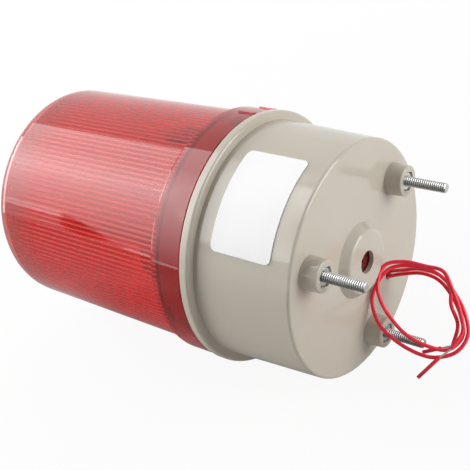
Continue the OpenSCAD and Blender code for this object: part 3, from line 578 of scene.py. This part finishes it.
# Leads
# Two thin red PVC leads come out of the base beside the sound boss, twist loosely and curl back.
# Each ends in bare tinned strands, with a slug of insulation left on the strands' tip.
lead_d = 1.5 * MM
lead_routes = {
    "lead_a": [
        (18.3, 19.7, 14), (18.3, 19.7, 8), (19, 18, 1.5), (20, 16, -6.5), (20, 17, -15), (17.5, 21.5, -21.5),
        (13.5, 26.5, -27), (8, 32, -30.5), (1.5, 36, -28.5), (-3, 37.5, -21.5), (-5, 35.5, -14),
        (-5, 32, -6), (-3.5, 28, 0.5), (1, 22, 5.5), (6, 16.5, 5.5), (12.5, 12.5, 2.5), (17, 12.5, -4.5),
        (19, 14.5, -12.5), (17, 18, -20), (13, 24, -22), (11, 31.5, -25), (4.5, 36.5, -25.5)],
    "lead_b": [
        (16.7, 21.3, 14), (16.7, 21.3, 8), (19, 20, 1.5), (20.5, 18.5, -6.5), (20, 19.5, -14),
        (17, 23, -20.5), (13, 28, -25.5), (7.5, 33, -28.5), (1, 35.5, -25.5), (-2.5, 33, -19),
        (-3.5, 29.5, -11.5), (-2, 25.5, -5), (0.5, 20.5, 0.5), (4.5, 15, 4), (11.5, 10.5, 4),
        (15.5, 10, -2.5), (17.5, 11.5, -10.5), (18, 12.5, -17.5), (14.5, 17.5, -22.5), (11, 23.5, -26.5),
        (7, 30, -29), (0, 33.5, -27.5)],
}
lead_tips = {
    "lead_a": [(2.5, 37.5, -21.5), (0.5, 40.5, -14.5)],
    "lead_b": [(-3.5, 36, -24), (-9.5, 44, -17)],
}
strand_count = 7
strand_r, strand_ring = 0.11 * MM, 0.22 * MM
strand_twists, strand_bulge = 1.3, 0.25
strand_steps = 16
slug_bore_r, slug_edge = 0.36 * MM, 0.08 * MM
slug_hollow = 0.2
slug_sides = 20
slug_smooth_deg = 50


def start_curve(name, radius, resolution):
    """An empty round-section curve with closed ends."""
    curve = bpy.data.curves.new(name, "CURVE")
    curve.dimensions = "3D"
    curve.bevel_depth = radius
    curve.bevel_resolution = resolution
    curve.use_fill_caps = True
    return curve


def lead_curve(name, points):
    """One smooth spline through the route's points, with the lead's thickness."""
    curve = start_curve(name, lead_d / 2, resolution=5)
    curve.resolution_u = 8
    spline = curve.splines.new("BEZIER")
    last = len(points) - 1
    spline.bezier_points.add(last)
    for i, knot in enumerate(spline.bezier_points):
        before, after = points[max(i - 1, 0)], points[min(i + 1, last)]
        slope = (after - before) / (1 if i in (0, last) else 2)
        knot.co = points[i]
        knot.handle_left = points[i] - slope / 3
        knot.handle_right = points[i] + slope / 3
    return curve


def strand_curve(name, start, end):
    """Tinned strands laid round each other between the cut insulation and its slug."""
    curve = start_curve(name, strand_r, resolution=2)
    aim = (end - start).normalized()
    side = aim.orthogonal().normalized()
    for k in range(strand_count):
        ring = 0 if k == 0 else strand_ring
        line = curve.splines.new("POLY")
        line.points.add(strand_steps)
        for s, knot in enumerate(line.points):
            share = s / strand_steps
            turn = 2 * math.pi * (k / (strand_count - 1) + strand_twists * share)
            bulge = 1 + strand_bulge * math.sin(math.pi * share)
            away = Matrix.Rotation(turn, 3, aim) @ side * ring * bulge
            knot.co = (*(start.lerp(end, share) + away), 1)
    return curve


def slug_mesh(start, end):
    """A short slug of insulation, with the strands' hole open at both ends."""
    bm = bmesh.new()
    length, outer = (end - start).length, lead_d / 2
    turn = (end - start).to_track_quat("Z", "Y").to_matrix().to_4x4()
    skin_rings(bm, [
        level(slug_bore_r, length * slug_hollow, slug_sides),
        level(slug_bore_r, slug_edge, slug_sides),
        level(slug_bore_r + slug_edge, 0, slug_sides),
        level(outer - slug_edge, 0, slug_sides),
        level(outer, slug_edge, slug_sides),
        level(outer, length - slug_edge, slug_sides),
        level(outer - slug_edge, length, slug_sides),
        level(slug_bore_r + slug_edge, length, slug_sides),
        level(slug_bore_r, length - slug_edge, slug_sides),
        level(slug_bore_r, length * (1 - slug_hollow), slug_sides),
    ], Matrix.Translation(start) @ turn)
    return bm


lead_red = moulded("lead_red", srgb(250, 40, 70), srgb(241, 34, 61), gloss=0.36, grain_depth=2e-6)
tinned_copper = metal("tinned_copper", srgb(206, 206, 200), srgb(186, 178, 160), gloss=0.3)
dress(lead_red, "lamp_leads")
for name, route in lead_routes.items():
    points = [Vector(p) * MM for p in route]
    strand_end, slug_end = (Vector(p) * MM for p in lead_tips[name])
    strand_line = strand_curve(name + "_strands", points[-1], strand_end)
    strands = bpy.data.objects.new(name + "_strands", strand_line)
    lead = bpy.data.objects.new(name + "_flex", lead_curve(name + "_flex", points))
    for piece, mat in ((lead, lead_red), (strands, tinned_copper)):
        piece.data.materials.append(mat)
        bpy.context.scene.collection.objects.link(piece)
        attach(piece, "base")
    slug = finish_mesh(name + "_slug", slug_mesh(strand_end, slug_end), slug_smooth_deg, lead_red)
    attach(slug, "base")
    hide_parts(name)
    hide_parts("lead_strands")
    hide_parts("lead_slugs")

# Stand for the picture
# The light lies on its side over a plain white sheet, in a white room with eight soft lights.
# Sheet and room show white. The sheet keeps a faint shadow. Gloss sees a painted shade on it: its glow is
# dimmed over the sheet's negative-X half, a little less past the lens crown.
floor_drop, floor_half = 0.053, 3.0
paper_scale = 12.0
shadow_near, shadow_far, shadow_share = 0.12, 0.55, 0.92
shade_near, shade_far, shade_glow = -0.01, 0.07, 0.2
crown_near, crown_past, crown_shade = 0.13, 0.17, 0.72
room_fill = 0.13


def shows_white(tree, light_path):
    """1 for the rays that see sheet or room as background: straight, off gloss or through glass."""
    seen = combine(tree, "MAXIMUM", light_path["Is Camera Ray"], light_path["Is Glossy Ray"])
    return combine(tree, "MAXIMUM", seen, light_path["Is Transmission Ray"])


floor_white, tree, shader = start_material("floor_white", {"Roughness": 0.9})
spot = spot_on(tree)
paper = noise(tree, spot, paper_scale)
feed(tree, shader.inputs["Base Color"],
     blend_colour(tree, paper, srgb(216, 216, 216), srgb(220, 220, 220)))
light_path = place(tree, "ShaderNodeLightPath").outputs
off_middle = place(tree, "ShaderNodeVectorMath", {0: spot}, operation="LENGTH").outputs["Value"]
paleness = remap(tree, off_middle, shadow_near, shadow_far, shadow_share, 1.0)
white_share = combine(tree, "MULTIPLY", shows_white(tree, light_path), paleness)
sheet_axes = place(tree, "ShaderNodeSeparateXYZ", {"Vector": spot}).outputs
# Painted shade: for rays off gloss the sheet's glow is dimmed towards negative X, and dimmed less beyond z
# crown_past
aside = remap(tree, sheet_axes["X"], shade_near, shade_far, 1.0 - shade_glow, 0.0)
along = remap(tree, sheet_axes["Z"], crown_near, crown_past, 1.0, crown_shade)
mirrored = place(tree, "ShaderNodeMath", {
    0: light_path["Is Glossy Ray"], 1: light_path["Is Transmission Ray"]},
    operation="SUBTRACT", use_clamp=True).outputs[0]
shade = combine(tree, "MULTIPLY", mirrored, combine(tree, "MULTIPLY", aside, along))
glow = place(tree, "ShaderNodeEmission", {"Strength": remap(tree, shade, 0.0, 1.0, 1.0, 0.0)})
lit = place(tree, "ShaderNodeMixShader", {0: white_share, 1: shader.outputs[0], 2: glow.outputs[0]})
behind = place(tree, "ShaderNodeNewGeometry").outputs["Backfacing"]
clear = place(tree, "ShaderNodeBsdfTransparent")
one_sided = place(tree, "ShaderNodeMixShader", {0: behind, 1: lit.outputs[0], 2: clear.outputs[0]})
feed(tree, tree.nodes["Material Output"].inputs["Surface"], one_sided.outputs[0])
bm = bmesh.new()
bm.faces.new([bm.verts.new((across * floor_half, floor_drop, up * floor_half))
              for across, up in ((-1, -1), (1, -1), (1, 1), (-1, 1))])
floor = bpy.data.objects.new("floor", bpy.data.meshes.new("floor"))
bm.to_mesh(floor.data)
bm.free()
floor.data.materials.append(floor_white)
bpy.context.scene.collection.objects.link(floor)

world = bpy.data.worlds.new("white_room")
bpy.context.scene.world = world
world.use_nodes = True
tree = world.node_tree
room = tree.nodes["Background"]
room.inputs["Color"].default_value = WHITE
light_path = place(tree, "ShaderNodeLightPath").outputs
feed(tree, room.inputs["Strength"], remap(tree, shows_white(tree, light_path), 0.0, 1.0, room_fill, 1.0))


def softbox(name, centre, aim, across, width, height, radiance, mirrored=True):
    """A rectangular soft light of a given radiance, turned to its aim with one side along across.
    A fill that isn't mirrored lights the surfaces and leaves no shape of its own in their gloss."""
    lamp = bpy.data.lights.new(name, "AREA")
    lamp.shape = "RECTANGLE"
    lamp.size = width
    lamp.size_y = height
    lamp.energy = radiance * math.pi * width * height
    back = (centre - aim).normalized()
    side = (across - across.dot(back) * back).normalized()
    turn = Matrix((side, back.cross(side), back)).transposed().to_4x4()
    box = bpy.data.objects.new(name, lamp)
    box.matrix_world = Matrix.Translation(centre) @ turn
    box.visible_glossy = mirrored
    box.visible_transmission = False
    bpy.context.scene.collection.objects.link(box)
    return lamp


def beside(azimuth_deg, distance, across, z):
    """A place on an upright plane that stands at a distance from the axis, in one direction."""
    a = math.radians(azimuth_deg)
    side = Vector((-math.sin(a), math.cos(a), 0)) * across
    return Vector((math.cos(a), math.sin(a), 0)) * distance + side + Vector((0, 0, z))


def upright(name, azimuth_deg, distance, across, z, width, height, radiance, lean_deg=0, mirrored=True):
    """A softbox on such a plane, leaning sideways in it."""
    lean = math.radians(lean_deg)
    centre = beside(azimuth_deg, distance, across, z)
    side = beside(azimuth_deg + 90, math.cos(lean), 0, -math.sin(lean))
    return softbox(name, centre, beside(azimuth_deg, 0, across, z), side, width, height, radiance, mirrored)


key_side, key_distance = 234.5, 0.7
key_hot, key_rise = 0.54, 1.7
key_fall, key_fall_width = 0.55, 0.18
corner_start, corner_low, corner_end = 0.221, 0.428, 0.567
key = upright("key_softbox", key_side, key_distance, across=0, z=1.1, width=1.92, height=1.0, radiance=4.2)
key.use_nodes = True
tree = key.node_tree
key_place = place(tree, "ShaderNodeNewGeometry").outputs["Parametric"]
key_face = place(tree, "ShaderNodeSeparateXYZ", {"Vector": key_place}).outputs
rise = combine(tree, "POWER", remap(tree, key_face["X"], 0.0, key_hot), key_rise)
fall = remap(tree, key_face["X"], key_hot, key_hot + key_fall_width, 1.0, key_fall)
corner_edge = remap(tree, key_face["X"], 0.0, corner_start, corner_end, corner_low)
above_edge = combine(tree, "GREATER_THAN", key_face["Y"], corner_edge)
at_end = combine(tree, "LESS_THAN", key_face["X"], corner_start)
uncut = remap(tree, combine(tree, "MULTIPLY", above_edge, at_end), 0.0, 1.0, 1.0, 0.0)
key_glow = combine(tree, "MULTIPLY", combine(tree, "MULTIPLY", rise, fall), uncut)
feed(tree, tree.nodes["Emission"].inputs["Strength"], key_glow)

upright("low_softbox", key_side, key_distance, across=0.125, z=0.48, width=0.99, height=0.24, radiance=3.6)
strip_distance = 0.75
upright("side_strip", 181.5, strip_distance, across=-0.069, z=0.525, width=0.03, height=0.46, radiance=2.0,
        lean_deg=12)
upright("corner_strip", 195.5, strip_distance, across=0, z=1.02, width=0.08, height=0.26, radiance=1.7)
foot_middle = Vector((0.0, 0.0, 0.0))
edge_azimuth = 222
edge_centre = beside(edge_azimuth, distance=0.32, across=0, z=0.95)
edge_side = beside(edge_azimuth + 90, distance=1, across=0, z=0)
softbox("edge_strip", edge_centre, foot_middle, edge_side, width=0.8, height=0.3, radiance=3.6)
downward = Vector((0, 1, 0))
high_centre = beside(205, distance=0.5, across=0, z=0.85)
softbox("high_fill", high_centre, foot_middle, downward, width=0.5, height=0.5, radiance=3.8, mirrored=False)
upright("top_fill", 312, distance=0.8, across=0, z=0.3, width=0.7, height=0.6, radiance=1.5, mirrored=False)
front_centre = Vector((0.27, -0.28, -0.7))
softbox("front_fill", front_centre, foot_middle, downward, width=0.6, height=0.6, radiance=5.0)

# Grey card
# A felt card in front of the key softbox, where its corner is cut away.
# Only gloss sees it, and the lens mirrors it as a small dark wedge.
card_outline = [
    (-0.536, 1.028), (-0.579, 1.009), (-0.709, 1.054), (-0.9, 1.148), (-0.951, 1.223), (-0.98, 1.308),
    (-0.926, 1.315)]
card_gap = 0.01
card_smooth_deg = 40
bm = bmesh.new()
card_corners = [beside(key_side, key_distance - card_gap, across, z) for across, z in card_outline]
bm.faces.new([bm.verts.new(corner) for corner in card_corners])
flag_felt = moulded("flag_felt", srgb(150, 150, 150), srgb(130, 130, 130), gloss=0.9, grain_depth=1e-5)
flag = finish_mesh("flag", bm, card_smooth_deg, flag_felt)
flag.visible_camera = False
flag.visible_diffuse = False
flag.visible_transmission = False
flag.visible_shadow = False

# Camera
# It looks down on the light from beside the base, rolled as in the picture.
# Its place and lens were found from the circles of the base, collar and lens.
camera_at = Vector((-0.22318, -0.21449, -0.15682))
camera_right = Vector((0.57590, 0.22089, -0.78711))
camera_up = Vector((0.57509, -0.79377, 0.19801))
camera = bpy.data.objects.new("camera", bpy.data.cameras.new("camera"))
camera.data.sensor_width = 36
camera.data.lens = 70.41
camera.data.clip_start = 0.01
turn = Matrix((camera_right, camera_up, camera_right.cross(camera_up))).transposed().to_4x4()
camera.matrix_world = Matrix.Translation(camera_at) @ turn
bpy.context.scene.collection.objects.link(camera)
bpy.context.scene.camera = camera
bpy.context.scene.view_settings.view_transform = "Standard"
